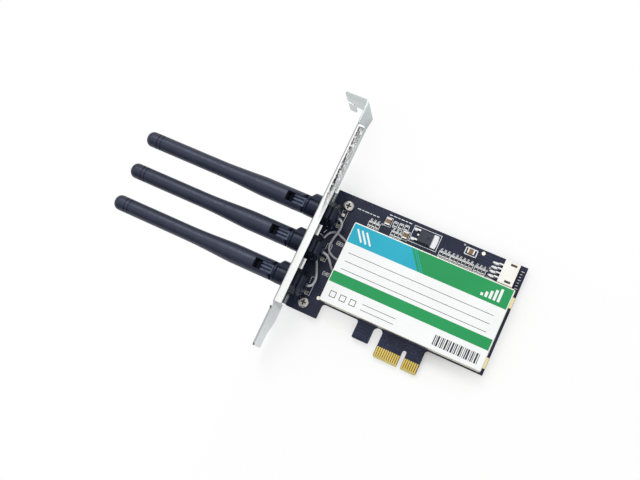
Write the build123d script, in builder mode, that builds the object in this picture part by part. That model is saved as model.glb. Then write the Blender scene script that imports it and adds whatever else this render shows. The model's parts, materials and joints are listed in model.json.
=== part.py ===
from build123d import *
import math
import os

os.makedirs("parts", exist_ok=True)

# A radio card for a desktop computer: a circuit board with an edge connector, a folded metal
# bracket and three antennas that swivel and fold on the bracket. All sizes are in millimetres.
# The origin is on the component face of the board, at the mating edge of the edge contacts and
# on the centre line of the key slot. X runs along the board away from the bracket, Y towards the
# bracket's screw tab and Z out of the component face.

# Board outline
board_thickness = 1.57
board_length = 91.75
board_height = 63.2
key_to_end = 57.45
lower_edge = 12.1
foot_length = 15.35
foot_bottom = 4.7
hook_width = 7.8
hook_bottom = 4.0
hook_gap = 4.25
hook_gap_top = 12.4
inner_corner = 1.4
outer_corner = 0.6
key_width = 1.9
key_height = 8.15
bevel_height = 1.0
bevel_depth = 0.4

# Edge contacts
contact_pitch = 1.0
contact_width = 0.7
contact_length = 4.1
contact_thickness = 0.05
contacts_before_key = 11
contacts_after_key = 7
key_to_contact = 1.5
contact_margin = 0.65

# Bracket
sheet = 0.86
bend_radius = 0.5
board_to_plate = 1.65
plate_width = 18.42
plate_reach = 15.05
tab_underside = 102.33
tab_length = 10.94
tab_width = 21.6
tab_corner = 1.0
flare_height = 7.0
tab_slot_width = 4.42
tab_slot_depth = 7.75
tab_slot_offset = 6.35
side_slot_width = 2.4
side_slot_depth = 3.6
side_slot_offset = 10.15
flange_reach = 3.2
flange_bottom = 3.5
flange_top = 91.0
flange_corner = 0.8
relief_width = 0.8
relief_depth = 1.7
tongue_drop = 17.69
tongue_shoulder = 1.0
tongue_inset = 1.15
tongue_taper_start = 4.8
tongue_taper_end = 10.9
tongue_taper = 4.2
tongue_corner = 1.0
lug_width = 8.0
lug_margin = 3.8
lug_corner = 1.5
lug_boss_diameter = 4.8
lug_boss_depth = 0.85

# Bracket screws
screw_to_end = 7.35
screw_low = 9.1
screw_to_top = 5.7
screw_diameter = 3.0
screw_hole_diameter = 3.4
screw_head_diameter = 5.2
screw_head_height = 1.7
screw_head_round = 0.9
screw_tip = 0.5
recess_width = 0.7
recess_length = 2.6
recess_depth = 1.0
thread_clearance = 0.03

# Antenna bases and nuts
antenna_count = 3
antenna_pitch = 16.8
antenna_middle = 32.6
antenna_height = 7.0
collar_diameter = 9.4
collar_length = 5.29
collar_chamfer = 0.2
grip_reach = 6.5
grip_near = 2.7
grip_half = 4.3
grip_chamfer = 1.2
grip_slot_width = 0.8
grip_slot_floor = 3.3
grip_slot_margin = 0.7
stem_diameter = 8.4
stem_length = 7.9
stem_chamfer = 0.5
stem_clearance = 0.15
nipple_diameter = 4.5
nipple_length = 0.8
nut_across_flats = 10.2
nut_thickness = 7.3
nut_chamfer = 0.5
nut_groove_place = 5.3
nut_groove_width = 1.0
nut_groove_depth = 0.5

# Swivel and fold hinge
spigot_diameter = 5.0
bead_diameter = 5.8
bead_length = 1.0
bead_gap = 0.15
bore_floor = 1.4
running_clearance = 0.05
swivel_gap = 0.15
sleeve_diameter = 9.2
sleeve_length = 1.5
sleeve_chamfer = 0.3
hinge_gap = 0.3
knuckle_width = 4.2
knuckle_radius = 2.7
knuckle_neck = 1.0
rib_count = 3
rib_width = 0.9
groove_depth = 0.8
pin_diameter = 2.0
pin_length = 8.2
window_width = 4.5
window_reach = 4.45
stop_gap = 0.3

# Masts and radiators
mast_length = 83.4
mast_root_diameter = 9.1
mast_diameter = 7.24
root_length = 20.8
taper_length = 24.0
taper_slope = 0.04
tip_round = 3.0
ring_from_tip = 6.3
ring_pitch = 1.9
ring_width = 0.45
ring_depth = 0.3
radiator_diameter = 3.0
radiator_length = 30.0
element_diameter = 1.2
element_length = 28.0
radiator_clearance = 0.1

# Coax leads and their plugs
coax_diameter = 1.13
coax_clearance = 0.05
coax_entry = 2.0
plug_diameter = 2.6
plug_height = 2.2
plug_lift = 0.45
plug_axis = 1.4
barrel_diameter = 1.7
barrel_length = 2.4
lay_clearance = 0.1
crossing_rise = 0.05
plug_run = 5.0
plug_pitch = 7.0
plug_inset = 3.4

# Shield cover and label
cover_to_end = 14.05
cover_to_far_end = 1.3
cover_to_edge = 0.5
strip_width = 12.1
cover_height = 6.0
cover_sheet = 0.4
cover_corner = 0.9
cover_edge = 0.3
mouth_width = 22.0
mouth_height = 3.0
mouth_offset = 1.4
cover_foot_width = 5.0
cover_foot_reach = 1.2
cover_foot_spacing = 28.5
label_thickness = 0.12
label_margin = 0.3
label_corner = 0.5

# Radio module, its socket, standoffs and screws
module_length = 50.95
module_width = 30.0
module_thickness = 1.0
module_lift = 1.6
module_can_length = 27.0
module_can_width = 25.0
module_can_height = 1.9
module_can_corner = 0.6
module_can_gap = 7.35
socket_length = 8.0
socket_side = 0.8
socket_gap = 0.25
socket_height = 4.0
socket_slot_depth = 4.6
socket_clearance = 0.1
standoff_diameter = 4.4
module_hole_inset = 2.9
module_screw_diameter = 2.0
module_screw_hole = 2.6
module_head_diameter = 3.8
module_head_height = 1.2
jack_size = 2.6
jack_base = 0.4
jack_diameter = 2.0
jack_bore = 1.5
jack_height = 1.25
jack_pin_diameter = 0.5

# Pin header
header_to_end = 3.4
header_to_top = 1.2
header_length = 6.8
header_width = 10.5
header_height = 5.5
header_wall = 0.8
header_rear_wall = 1.8
header_slot_length = 2.8
header_slot_width = 1.1
pin_count = 4
pin_pitch = 2.0
pin_width = 0.64
pin_axis = 2.6
pin_reach = 5.6
pin_drop = 1.5
pin_foot = 2.4

# Regulator
regulator_share = 0.416
regulator_to_top = 2.5
regulator_length = 6.4
regulator_width = 6.0
regulator_height = 2.3
regulator_draft = 8.0
regulator_dimple = 1.2
dimple_share = 0.72
frame_thickness = 0.5
tab_plate_reach = 2.0
tab_plate_width = 6.2
lead_width = 0.8
lead_reach = 3.0
lead_thickness = 0.5
lead_exit = 1.0
lead_shoulder = 0.9
lead_spacing = 4.56

# Chips and ceramic capacitors
chip_length = 2.0
chip_width = 1.2
chip_height = 0.5
chip_cap = 0.4
chip_pitch = 1.75
capacitor_length = 3.2
capacitor_width = 2.2
capacitor_height = 1.4
capacitor_cap = 0.6

# Bare pads
pad_thickness = 0.04
dot_diameter = 1.7
dot_inset = 1.5
pad_size = 1.3
pad_gap = 1.0
pad_drop = 1.9
pad_rise = 3.5

board_left = -key_to_end
board_right = board_left + board_length
board_back = -board_thickness
tongue_left = -(key_to_contact + (contacts_before_key - 1) * contact_pitch + contact_margin)
tongue_right = key_to_contact + (contacts_after_key - 1) * contact_pitch + contact_margin
hook_right = tongue_left - hook_gap
hook_left = hook_right - hook_width
foot_right = board_left + foot_length
screw_x = board_left + screw_to_end
screw_places = [(screw_x, screw_low), (screw_x, board_height - screw_to_top)]
plate_inner = board_left - board_to_plate
plate_outer = plate_inner - sheet
plate_far = plate_reach - plate_width
tab_far = plate_reach - tab_width
tab_top = tab_underside + sheet
lug_top = board_back
lug_under = lug_top - sheet
lug_end = screw_x + lug_margin
bend_outer = bend_radius + sheet
cover_left = board_left + cover_to_end
cover_right = board_right - cover_to_far_end
cover_bottom = lower_edge + cover_to_edge
cover_top = board_height - strip_width
cover_length = cover_right - cover_left
cover_width = cover_top - cover_bottom
cover_centre = ((cover_left + cover_right) / 2, (cover_bottom + cover_top) / 2)
socket_left = cover_right - cover_sheet - socket_gap - socket_length
module_right = socket_left + socket_slot_depth
module_left = module_right - module_length
module_middle = cover_centre[1]
module_bottom = module_middle - module_width / 2
module_top = module_lift + module_thickness
plug_x = module_left + plug_inset
header_middle = board_height - header_to_top - header_width / 2
header_front = board_right - header_to_end
header_back = header_front - header_length


def on_strip(along, across):
    """A place on the bare strip above the cover, by shares of the strip's length and width."""
    return cover_left + along * (header_back - cover_left), cover_top + across * strip_width


def corners(sketch, *places):
    """Vertices of a sketch on the component face that lie at the given places."""
    return [
        v for v in sketch.vertices()
        if any(abs(v.X - x) < 0.01 and abs(v.Y - y) < 0.01 for x, y in places)
    ]


def edges_at(part, along, x=None, y=None, z=None):
    """Edges parallel to an axis whose middle lies at the given coordinates."""
    chosen = part.edges().filter_by(along)
    for name, value in (("X", x), ("Y", y), ("Z", z)):
        if value is not None:
            chosen = chosen.filter_by(lambda e: abs(getattr(e.center(), name) - value) < 0.02)
    return chosen


with BuildPart() as pcb:
    with BuildSketch(Plane.XY.offset(board_back)) as outline:
        with BuildLine():
            Polyline(
                (board_left, foot_bottom),
                (foot_right, foot_bottom),
                (foot_right, lower_edge),
                (hook_left, lower_edge),
                (hook_left, hook_bottom),
                (hook_right, hook_bottom),
                (hook_right, hook_gap_top),
                (tongue_left, hook_gap_top),
                (tongue_left, 0),
                (tongue_right, 0),
                (tongue_right, lower_edge),
                (board_right, lower_edge),
                (board_right, board_height),
                (board_left, board_height),
                close=True,
            )
        make_face()
        fillet(corners(outline, (hook_right, hook_gap_top), (tongue_left, hook_gap_top)), 0.48 * hook_gap)
        fillet(
            corners(outline, (foot_right, lower_edge), (hook_left, lower_edge), (tongue_right, lower_edge)),
            inner_corner,
        )
        fillet(
            corners(
                outline,
                (board_left, foot_bottom),
                (foot_right, foot_bottom),
                (hook_left, hook_bottom),
                (hook_right, hook_bottom),
                (tongue_left, 0),
                (tongue_right, 0),
            ),
            outer_corner,
        )
        Rectangle(key_width, key_height - key_width / 2, align=(Align.CENTER, Align.MIN), mode=Mode.SUBTRACT)
        with Locations((0, key_height - key_width / 2)):
            Circle(key_width / 2, mode=Mode.SUBTRACT)
        with Locations(*screw_places):
            Circle(screw_hole_diameter / 2, mode=Mode.SUBTRACT)
    extrude(amount=board_thickness)
    with BuildSketch(Plane.YZ.offset(tongue_left)):
        for face, inward in ((0, -bevel_depth), (board_back, bevel_depth)):
            with BuildLine():
                Polyline((0, face), (bevel_height, face), (0, face + inward), close=True)
            make_face()
    extrude(amount=tongue_right - tongue_left, mode=Mode.SUBTRACT)
pcb.part.label = "pcb"
export_step(pcb.part, "parts/pcb.step")

with BuildPart() as edge_contacts:
    before_middle = -key_to_contact - (contacts_before_key - 1) * contact_pitch / 2
    after_middle = key_to_contact + (contacts_after_key - 1) * contact_pitch / 2
    contact_middle = bevel_height + contact_length / 2
    for face, rise in ((0, contact_thickness), (board_back, -contact_thickness)):
        with BuildSketch(Plane.XY.offset(face)):
            with Locations((before_middle, contact_middle)):
                with GridLocations(contact_pitch, 1, contacts_before_key, 1):
                    Rectangle(contact_width, contact_length)
            with Locations((after_middle, contact_middle)):
                with GridLocations(contact_pitch, 1, contacts_after_key, 1):
                    Rectangle(contact_width, contact_length)
        extrude(amount=rise)
edge_contacts.part.label = "edge_contacts"
export_step(edge_contacts.part, "parts/edge_contacts.step")

# The bracket is one folded sheet: plate, outward screw tab, inward stiffening flange on the
# component side, two lugs under the board and a shouldered tongue at the lower end.
first_row = antenna_middle - (antenna_count - 1) * antenna_pitch / 2
antenna_rows = [first_row + n * antenna_pitch for n in range(antenna_count)]
tongue_near = plate_reach - tongue_inset
tongue_far = plate_far + tongue_taper

with BuildPart() as bracket:
    with BuildSketch(Plane.YZ.offset(plate_outer)) as plate:
        with BuildLine():
            Polyline(
                (tab_top, plate_reach),
                (tongue_shoulder, plate_reach),
                (tongue_shoulder - tongue_inset, tongue_near),
                (-tongue_drop, tongue_near),
                (-tongue_drop, tongue_far),
                (-tongue_taper_end, tongue_far),
                (-tongue_taper_start, plate_far),
                (tab_underside - flare_height, plate_far),
                (tab_underside, tab_far),
                (tab_top, tab_far),
                close=True,
            )
        make_face()
        chamfer(corners(plate, (-tongue_drop, tongue_near), (-tongue_drop, tongue_far)), tongue_corner)
        with Locations(*[(row, antenna_height) for row in antenna_rows]):
            Circle(stem_diameter / 2 + stem_clearance, mode=Mode.SUBTRACT)
        for end in (flange_bottom - relief_width / 2, flange_top + relief_width / 2):
            with Locations((end, plate_reach)):
                Rectangle(relief_width, 2 * relief_depth, mode=Mode.SUBTRACT)
        for place in screw_places:
            with Locations((place[1], lug_under)):
                Rectangle(
                    lug_width, lug_under - plate_far, align=(Align.CENTER, Align.MAX), mode=Mode.SUBTRACT
                )
            with Locations((place[1], plate_far)):
                with GridLocations(lug_width + relief_width, 1, 2, 1):
                    Rectangle(relief_width, 2 * (lug_under - plate_far + relief_depth), mode=Mode.SUBTRACT)
    extrude(amount=sheet)
    with BuildSketch(Plane.XZ.offset(-tab_underside)) as tab:
        with Locations((plate_inner, tab_far)):
            Rectangle(tab_length + sheet, tab_width, align=(Align.MAX, Align.MIN))
        fillet(tab.vertices().group_by(Axis.X)[0], tab_corner)
        with Locations((plate_inner - tab_slot_offset, tab_far)):
            Rectangle(tab_slot_width, 2 * tab_slot_depth - tab_slot_width, mode=Mode.SUBTRACT)
        with Locations((plate_inner - tab_slot_offset, tab_far + tab_slot_depth - tab_slot_width / 2)):
            Circle(tab_slot_width / 2, mode=Mode.SUBTRACT)
        with Locations((plate_outer - tab_length, tab_far + side_slot_offset)):
            Rectangle(2 * side_slot_depth - side_slot_width, side_slot_width, mode=Mode.SUBTRACT)
        side_slot_end = plate_outer - tab_length + side_slot_depth - side_slot_width / 2
        with Locations((side_slot_end, tab_far + side_slot_offset)):
            Circle(side_slot_width / 2, mode=Mode.SUBTRACT)
    extrude(amount=-sheet)
    with BuildSketch(Plane.XY.offset(plate_reach)) as flange:
        with Locations((plate_outer, flange_bottom)):
            Rectangle(sheet + flange_reach, flange_top - flange_bottom, align=(Align.MIN, Align.MIN))
        fillet(flange.vertices().group_by(Axis.X)[-1], flange_corner)
    extrude(amount=-sheet)
    with BuildSketch(Plane.XY.offset(lug_top)) as lugs:
        for place in screw_places:
            with Locations((plate_outer, place[1])):
                Rectangle(lug_end - plate_outer, lug_width, align=(Align.MIN, Align.CENTER))
        fillet(lugs.vertices().group_by(Axis.X)[-1], lug_corner)
    extrude(amount=-sheet)
    fillet(edges_at(bracket, Axis.Z, x=plate_outer, y=tab_underside), bend_radius)
    fillet(edges_at(bracket, Axis.Z, x=plate_inner, y=tab_top), bend_outer)
    flange_centre = (flange_bottom + flange_top) / 2
    fillet(edges_at(bracket, Axis.Y, x=plate_inner, y=flange_centre, z=plate_reach - sheet), bend_radius)
    fillet(edges_at(bracket, Axis.Y, x=plate_outer, y=flange_centre, z=plate_reach), bend_outer)
    for place in screw_places:
        fillet(edges_at(bracket, Axis.Y, x=plate_inner, y=place[1], z=lug_top), bend_radius)
        fillet(edges_at(bracket, Axis.Y, x=plate_outer, y=place[1], z=lug_under), bend_outer)
    with BuildSketch(Plane.XY.offset(lug_under)):
        with Locations(*screw_places):
            Circle(lug_boss_diameter / 2)
    extrude(amount=-lug_boss_depth)
    with BuildSketch(Plane.XY.offset(lug_top)):
        with Locations(*screw_places):
            Circle(screw_diameter / 2 + thread_clearance)
    extrude(amount=-(sheet + lug_boss_depth), mode=Mode.SUBTRACT)
bracket.part.label = "bracket"
export_step(bracket.part, "parts/bracket.step")

with BuildPart() as bracket_screws:
    with BuildSketch():
        with Locations(*screw_places):
            Circle(screw_head_diameter / 2)
    extrude(amount=screw_head_height)
    fillet(bracket_screws.edges().group_by(Axis.Z)[-1], screw_head_round)
    with BuildSketch():
        with Locations(*screw_places):
            Circle(screw_diameter / 2)
    extrude(amount=-(board_thickness + sheet + lug_boss_depth))
    chamfer(bracket_screws.edges().group_by(Axis.Z)[0], screw_tip)
    with BuildSketch(Plane.XY.offset(screw_head_height)):
        with Locations(*screw_places):
            Rectangle(recess_length, recess_width)
            Rectangle(recess_width, recess_length)
    extrude(amount=-recess_depth, mode=Mode.SUBTRACT)
bracket_screws.part.label = "bracket_screws"
export_step(bracket_screws.part, "parts/bracket_screws.step")

# Stations along an antenna, measured outwards from the plate's outer face.
nipple_end = -(sheet + stem_length + nipple_length)
stem_end = -(sheet + stem_length)
nut_groove = -(sheet + nut_groove_place)
bore_end = stem_end + bore_floor
spigot_end = bore_end + bead_gap
bead_top = spigot_end + bead_length
sleeve_start = collar_length + swivel_gap
sleeve_end = sleeve_start + sleeve_length
cheek_end = sleeve_end + hinge_gap
cheek_radius = mast_root_diameter / 2
pin_station = cheek_end + cheek_radius
window_end = pin_station + window_reach
tip_station = cheek_end + mast_length
taper_start = cheek_end + root_length
taper_end = taper_start + taper_length
collar_radius = collar_diameter / 2
stem_radius = stem_diameter / 2
nipple_radius = nipple_diameter / 2
spigot_radius = spigot_diameter / 2
bead_radius = bead_diameter / 2
sleeve_radius = sleeve_diameter / 2
mast_radius = mast_diameter / 2
pin_radius = pin_diameter / 2
coax_bore = coax_diameter / 2 + coax_clearance
bore_radius = radiator_diameter / 2 + radiator_clearance
radiator_end = window_end + radiator_length
element_end = radiator_end + element_length
rib_pitch = (knuckle_width - rib_width) / (rib_count - 1)

for number, row in enumerate(reversed(antenna_rows), start=1):
    foot = (plate_outer, row, antenna_height)
    axis = Axis(foot, (-1, 0, 0))
    # The side plane holds the antenna's axis: its x is the station, its y the height above the axis.
    side = Plane(origin=foot, x_dir=(-1, 0, 0), z_dir=(0, 1, 0))

    with BuildPart() as antenna_base:
        with BuildSketch(side):
            with BuildLine():
                Polyline(
                    (nipple_end, coax_bore),
                    (nipple_end, nipple_radius),
                    (stem_end, nipple_radius),
                    (stem_end, stem_radius - stem_chamfer),
                    (stem_end + stem_chamfer, stem_radius),
                    (0, stem_radius),
                    (0, collar_radius),
                    (collar_length - collar_chamfer, collar_radius),
                    (collar_length, collar_radius - collar_chamfer),
                    (collar_length, spigot_radius + running_clearance),
                    (bead_top + bead_gap, spigot_radius + running_clearance),
                    (bead_top + bead_gap, bead_radius + running_clearance),
                    (bore_end, bead_radius + running_clearance),
                    (bore_end, coax_bore),
                    close=True,
                )
            make_face()
        revolve(axis=axis)
        # A raised side to hold the base by while its nut is tightened, with a slot along its top.
        with BuildSketch(Plane(origin=foot, x_dir=(0, 1, 0), z_dir=(1, 0, 0))):
            Circle(grip_reach)
            with Locations((grip_near, 0)):
                Rectangle(grip_reach, 2 * grip_half, align=(Align.MIN, Align.CENTER), mode=Mode.INTERSECT)
        extrude(amount=-collar_length)
        rims = antenna_base.edges().filter_by(GeomType.CIRCLE)
        outer_rims = rims.filter_by(lambda rim: abs(rim.radius - grip_reach) < 0.01)
        chamfer(outer_rims.sort_by(Axis.X)[0], grip_chamfer)
        with BuildSketch(Plane.XY.offset(antenna_height + grip_slot_floor)):
            with Locations((plate_outer - collar_length / 2, row + grip_near - grip_slot_width / 2)):
                Rectangle(collar_length - 2 * grip_slot_margin, grip_slot_width)
        extrude(amount=grip_reach, mode=Mode.SUBTRACT)
    antenna_base.part.label = f"antenna_base_{number}"
    export_step(antenna_base.part, f"parts/antenna_base_{number}.step")

    with BuildPart() as antenna_nut:
        with BuildSketch(Plane(origin=(plate_inner, row, antenna_height), x_dir=(0, 1, 0), z_dir=(1, 0, 0))):
            RegularPolygon(nut_across_flats / 2, 6, major_radius=False)
        extrude(amount=nut_thickness)
        chamfer(antenna_nut.faces().sort_by(Axis.X)[-1].edges(), nut_chamfer)
        with BuildSketch(Plane(origin=(plate_inner, row, antenna_height), x_dir=(0, 1, 0), z_dir=(1, 0, 0))):
            Circle(stem_radius + thread_clearance)
        extrude(amount=nut_thickness, mode=Mode.SUBTRACT)
        with BuildSketch(side):
            with BuildLine():
                Polyline(
                    (nut_groove - nut_groove_width / 2, nut_across_flats),
                    (nut_groove - nut_groove_width / 2, nut_across_flats / 2),
                    (nut_groove, nut_across_flats / 2 - nut_groove_depth),
                    (nut_groove + nut_groove_width / 2, nut_across_flats / 2),
                    (nut_groove + nut_groove_width / 2, nut_across_flats),
                    close=True,
                )
            make_face()
        revolve(axis=axis, mode=Mode.SUBTRACT)
    antenna_nut.part.label = f"antenna_nut_{number}"
    export_step(antenna_nut.part, f"parts/antenna_nut_{number}.step")

    # The knuckle swivels on a beaded spigot in the base and carries a ribbed tongue for the fold.
    with BuildPart() as knuckle:
        with BuildSketch(side):
            with BuildLine():
                Polyline(
                    (spigot_end, 0),
                    (spigot_end, bead_radius),
                    (bead_top, bead_radius),
                    (bead_top, spigot_radius),
                    (sleeve_start, spigot_radius),
                    (sleeve_start, sleeve_radius - sleeve_chamfer),
                    (sleeve_start + sleeve_chamfer, sleeve_radius),
                    (sleeve_end - sleeve_chamfer, sleeve_radius),
                    (sleeve_end, sleeve_radius - sleeve_chamfer),
                    (sleeve_end, 0),
                    close=True,
                )
            make_face()
        revolve(axis=axis)
        with BuildSketch(side):
            with Locations((sleeve_end, 0)):
                Rectangle(knuckle_neck, 2 * knuckle_radius, align=(Align.MIN, Align.CENTER))
                Rectangle(
                    pin_station - sleeve_end,
                    2 * (knuckle_radius - groove_depth),
                    align=(Align.MIN, Align.CENTER),
                )
            with Locations((pin_station, 0)):
                Circle(knuckle_radius - groove_depth)
        extrude(amount=knuckle_width / 2, both=True)
        for rib in range(rib_count):
            with BuildSketch(side.offset((rib - (rib_count - 1) / 2) * rib_pitch)):
                with Locations((sleeve_end, 0)):
                    Rectangle(pin_station - sleeve_end, 2 * knuckle_radius, align=(Align.MIN, Align.CENTER))
                with Locations((pin_station, 0)):
                    Circle(knuckle_radius)
            extrude(amount=rib_width / 2, both=True)
        with BuildSketch(side):
            with Locations((pin_station, 0)):
                Circle(pin_radius + running_clearance)
        extrude(amount=knuckle_width, both=True, mode=Mode.SUBTRACT)
    knuckle.part.label = f"knuckle_{number}"
    export_step(knuckle.part, f"parts/knuckle_{number}.step")

    with BuildPart() as hinge_pin:
        with BuildSketch(side):
            with Locations((pin_station, 0)):
                Circle(pin_radius)
        extrude(amount=pin_length / 2, both=True)
    hinge_pin.part.label = f"hinge_pin_{number}"
    export_step(hinge_pin.part, f"parts/hinge_pin_{number}.step")

    # The mast's root is a fork: two cheeks rounded about the pin, open towards the component side,
    # with a back wall that stops the fold when the mast is straight.
    with BuildPart() as mast:
        with BuildSketch(side):
            with BuildLine():
                Polyline(
                    (taper_start, cheek_radius),
                    (cheek_end, cheek_radius),
                    (cheek_end, 0),
                    (tip_station, 0),
                )
                Line((tip_station, 0), (tip_station, mast_radius - tip_round))
                RadiusArc(
                    (tip_station, mast_radius - tip_round), (tip_station - tip_round, mast_radius), -tip_round
                )
                Line((tip_station - tip_round, mast_radius), (taper_end, mast_radius))
                Spline(
                    (taper_end, mast_radius),
                    (taper_start, cheek_radius),
                    tangents=((-1, 0), (-1, taper_slope)),
                )
            make_face()
            with Locations(*[(tip_station - ring_from_tip - n * ring_pitch, mast_radius) for n in range(2)]):
                Rectangle(ring_width, 2 * ring_depth, mode=Mode.SUBTRACT)
        revolve(axis=axis)
        with BuildSketch(side):
            with Locations((cheek_end, 0)):
                Rectangle(cheek_radius, 2 * mast_root_diameter, align=(Align.MIN, Align.CENTER))
            with Locations((pin_station, 0)):
                Circle(cheek_radius, mode=Mode.SUBTRACT)
        extrude(amount=mast_root_diameter, both=True, mode=Mode.SUBTRACT)
        with BuildSketch(side):
            with Locations((cheek_end, -(knuckle_radius + stop_gap))):
                Rectangle(window_end - cheek_end, mast_root_diameter, align=(Align.MIN, Align.MIN))
        extrude(amount=window_width / 2, both=True, mode=Mode.SUBTRACT)
        with BuildSketch(side):
            with Locations((pin_station, 0)):
                Circle(pin_radius)
        extrude(amount=mast_root_diameter, both=True, mode=Mode.SUBTRACT)
        with BuildSketch(Plane(origin=axis.position + axis.direction * window_end, z_dir=axis.direction)):
            Circle(bore_radius)
        extrude(amount=element_end - window_end, mode=Mode.SUBTRACT)
    mast.part.label = f"mast_{number}"
    export_step(mast.part, f"parts/mast_{number}.step")

    with BuildPart() as radiator:
        with BuildSketch(Plane(origin=axis.position + axis.direction * window_end, z_dir=axis.direction)):
            Circle(radiator_diameter / 2)
        extrude(amount=radiator_length)
        with BuildSketch(Plane(origin=axis.position + axis.direction * radiator_end, z_dir=axis.direction)):
            Circle(element_diameter / 2)
        extrude(amount=element_length)
    radiator.part.label = f"radiator_{number}"
    export_step(radiator.part, f"parts/radiator_{number}.step")

# Coax leads: each leaves an antenna base, lies on the board and climbs to its plug on the module.
plug_rows = [module_middle + (n - 1) * plug_pitch for n in range(antenna_count)]
coax_height = module_top + plug_axis
coax_start = plate_outer - nipple_end - coax_entry
barrel_end = plug_x - plug_diameter / 2 - barrel_length
lay = coax_diameter / 2 + lay_clearance
row_3, row_2, row_1 = antenna_rows
lead_routes = (
    (
        (coax_start, row_1, antenna_height),
        (-48.7, row_1, antenna_height),
        (-48.2, 45.9, 4.0),
        (-50.2, 40.6, 1.3),
        (-50.6, 36.2, lay),
        (-48.0, 33.4, lay + crossing_rise),
        (-42.8, 32.5, lay),
        (-37.2, 31.8, 1.5),
        (-31.8, 31.9, 3.2),
        (barrel_end - plug_run, plug_rows[1], coax_height),
        (barrel_end, plug_rows[1], coax_height),
    ),
    (
        (coax_start, row_2, antenna_height),
        (-48.9, row_2, antenna_height),
        (-46.7, 30.6, 4.0),
        (-44.4, 27.2, 1.2),
        (-39.6, 25.1, 0.9),
        (-34.4, 24.7, 1.7),
        (-30.4, 24.9, 3.2),
        (barrel_end - plug_run, plug_rows[0], coax_height),
        (barrel_end, plug_rows[0], coax_height),
    ),
    (
        (coax_start, row_3, antenna_height),
        (-48.9, row_3, antenna_height),
        (-48.3, 19.8, 4.8),
        (-50.6, 24.6, 1.9),
        (-53.2, 29.2, lay),
        (-54.3, 34.8, lay + crossing_rise),
        (-54.5, 40.4, lay),
        (-51.6, 44.4, lay + crossing_rise),
        (-46.6, 43.2, lay),
        (-41.2, 40.4, 0.9),
        (-35.6, 39.2, 1.7),
        (-31.0, 38.8, 3.2),
        (barrel_end - plug_run, plug_rows[2], coax_height),
        (barrel_end, plug_rows[2], coax_height),
    ),
)


def bend_radii(points):
    """The largest bend that the two runs at each inner point leave room for."""
    radii = []
    for before, here, after in zip(points, points[1:], points[2:]):
        run_in = Vector(here) - Vector(before)
        run_out = Vector(after) - Vector(here)
        half_turn = math.radians(run_in.get_angle(run_out)) / 2
        radii.append(0.45 * min(run_in.length, run_out.length) / math.tan(half_turn))
    return radii


for number, points in enumerate(lead_routes, start=1):
    with BuildPart() as coax:
        with BuildLine() as route:
            FilletPolyline(*points, radius=bend_radii(points))
        with BuildSketch(Plane(origin=route.line @ 0, z_dir=route.line % 0)):
            Circle(coax_diameter / 2)
        sweep()
    coax.part.label = f"coax_{number}"
    export_step(coax.part, f"parts/coax_{number}.step")
    length = route.wire().length
    tube = math.pi * coax_diameter**2 / 4 * length
    print(coax.part.label, "length", round(length, 1), "volume share", round(coax.part.volume / tube, 4))
    print(coax.part.label, "radii", [round(r, 1) for r in bend_radii(points)])

with BuildPart() as coax_sockets:
    with BuildSketch(Plane.XY.offset(module_top)):
        with Locations(*[(plug_x, row) for row in plug_rows]):
            Rectangle(jack_size, jack_size)
    extrude(amount=jack_base)
    with BuildSketch(Plane.XY.offset(module_top)):
        with Locations(*[(plug_x, row) for row in plug_rows]):
            Circle(jack_diameter / 2)
            Circle(jack_bore / 2, mode=Mode.SUBTRACT)
            Circle(jack_pin_diameter / 2)
    extrude(amount=jack_height)
coax_sockets.part.label = "coax_sockets"
export_step(coax_sockets.part, "parts/coax_sockets.step")

with BuildPart() as coax_plugs:
    with BuildSketch(Plane.XY.offset(module_top + plug_lift)):
        with Locations(*[(plug_x, row) for row in plug_rows]):
            Circle(plug_diameter / 2)
    extrude(amount=plug_height - plug_lift)
    for row in plug_rows:
        with BuildSketch(Plane(origin=(barrel_end, row, coax_height), z_dir=(1, 0, 0))):
            Circle(barrel_diameter / 2)
        extrude(amount=plug_x - barrel_end)
    with BuildSketch(Plane.XY.offset(module_top + plug_lift)):
        with Locations(*[(plug_x, row) for row in plug_rows]):
            Circle(jack_diameter / 2 + running_clearance)
    extrude(amount=jack_height - plug_lift + running_clearance, mode=Mode.SUBTRACT)
coax_plugs.part.label = "coax_plugs"
export_step(coax_plugs.part, "parts/coax_plugs.step")

# Shield cover: a folded can, open below, with a mouth for the leads and solder feet at the far end.
with BuildPart() as shield_cover:
    with BuildSketch():
        with Locations(cover_centre):
            RectangleRounded(cover_length, cover_width, cover_corner)
    extrude(amount=cover_height)
    fillet(shield_cover.edges().group_by(Axis.Z)[-1], cover_edge)
    with BuildSketch():
        with Locations(cover_centre):
            RectangleRounded(
                cover_length - 2 * cover_sheet, cover_width - 2 * cover_sheet, cover_corner - cover_sheet
            )
    extrude(amount=cover_height - cover_sheet, mode=Mode.SUBTRACT)
    with BuildSketch(Plane.YZ.offset(cover_left)):
        with Locations((antenna_middle + mouth_offset, 0)):
            Rectangle(mouth_width, mouth_height, align=(Align.CENTER, Align.MIN))
    extrude(amount=2 * cover_sheet, mode=Mode.SUBTRACT)
    with BuildSketch():
        with Locations((cover_right - cover_sheet, cover_centre[1])):
            with GridLocations(1, cover_foot_spacing, 1, 2):
                Rectangle(cover_sheet + cover_foot_reach, cover_foot_width, align=(Align.MIN, Align.CENTER))
    extrude(amount=cover_sheet)
shield_cover.part.label = "shield_cover"
export_step(shield_cover.part, "parts/shield_cover.step")

with BuildPart() as label:
    with BuildSketch(Plane.XY.offset(cover_height)):
        with Locations(cover_centre):
            RectangleRounded(cover_length - 2 * label_margin, cover_width - 2 * label_margin, label_corner)
    extrude(amount=label_thickness)
label.part.label = "label"
export_step(label.part, "parts/label.step")

hole_rows = (module_bottom + module_hole_inset, module_bottom + module_width - module_hole_inset)
hole_places = [(module_left + module_hole_inset, row) for row in hole_rows]

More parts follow.
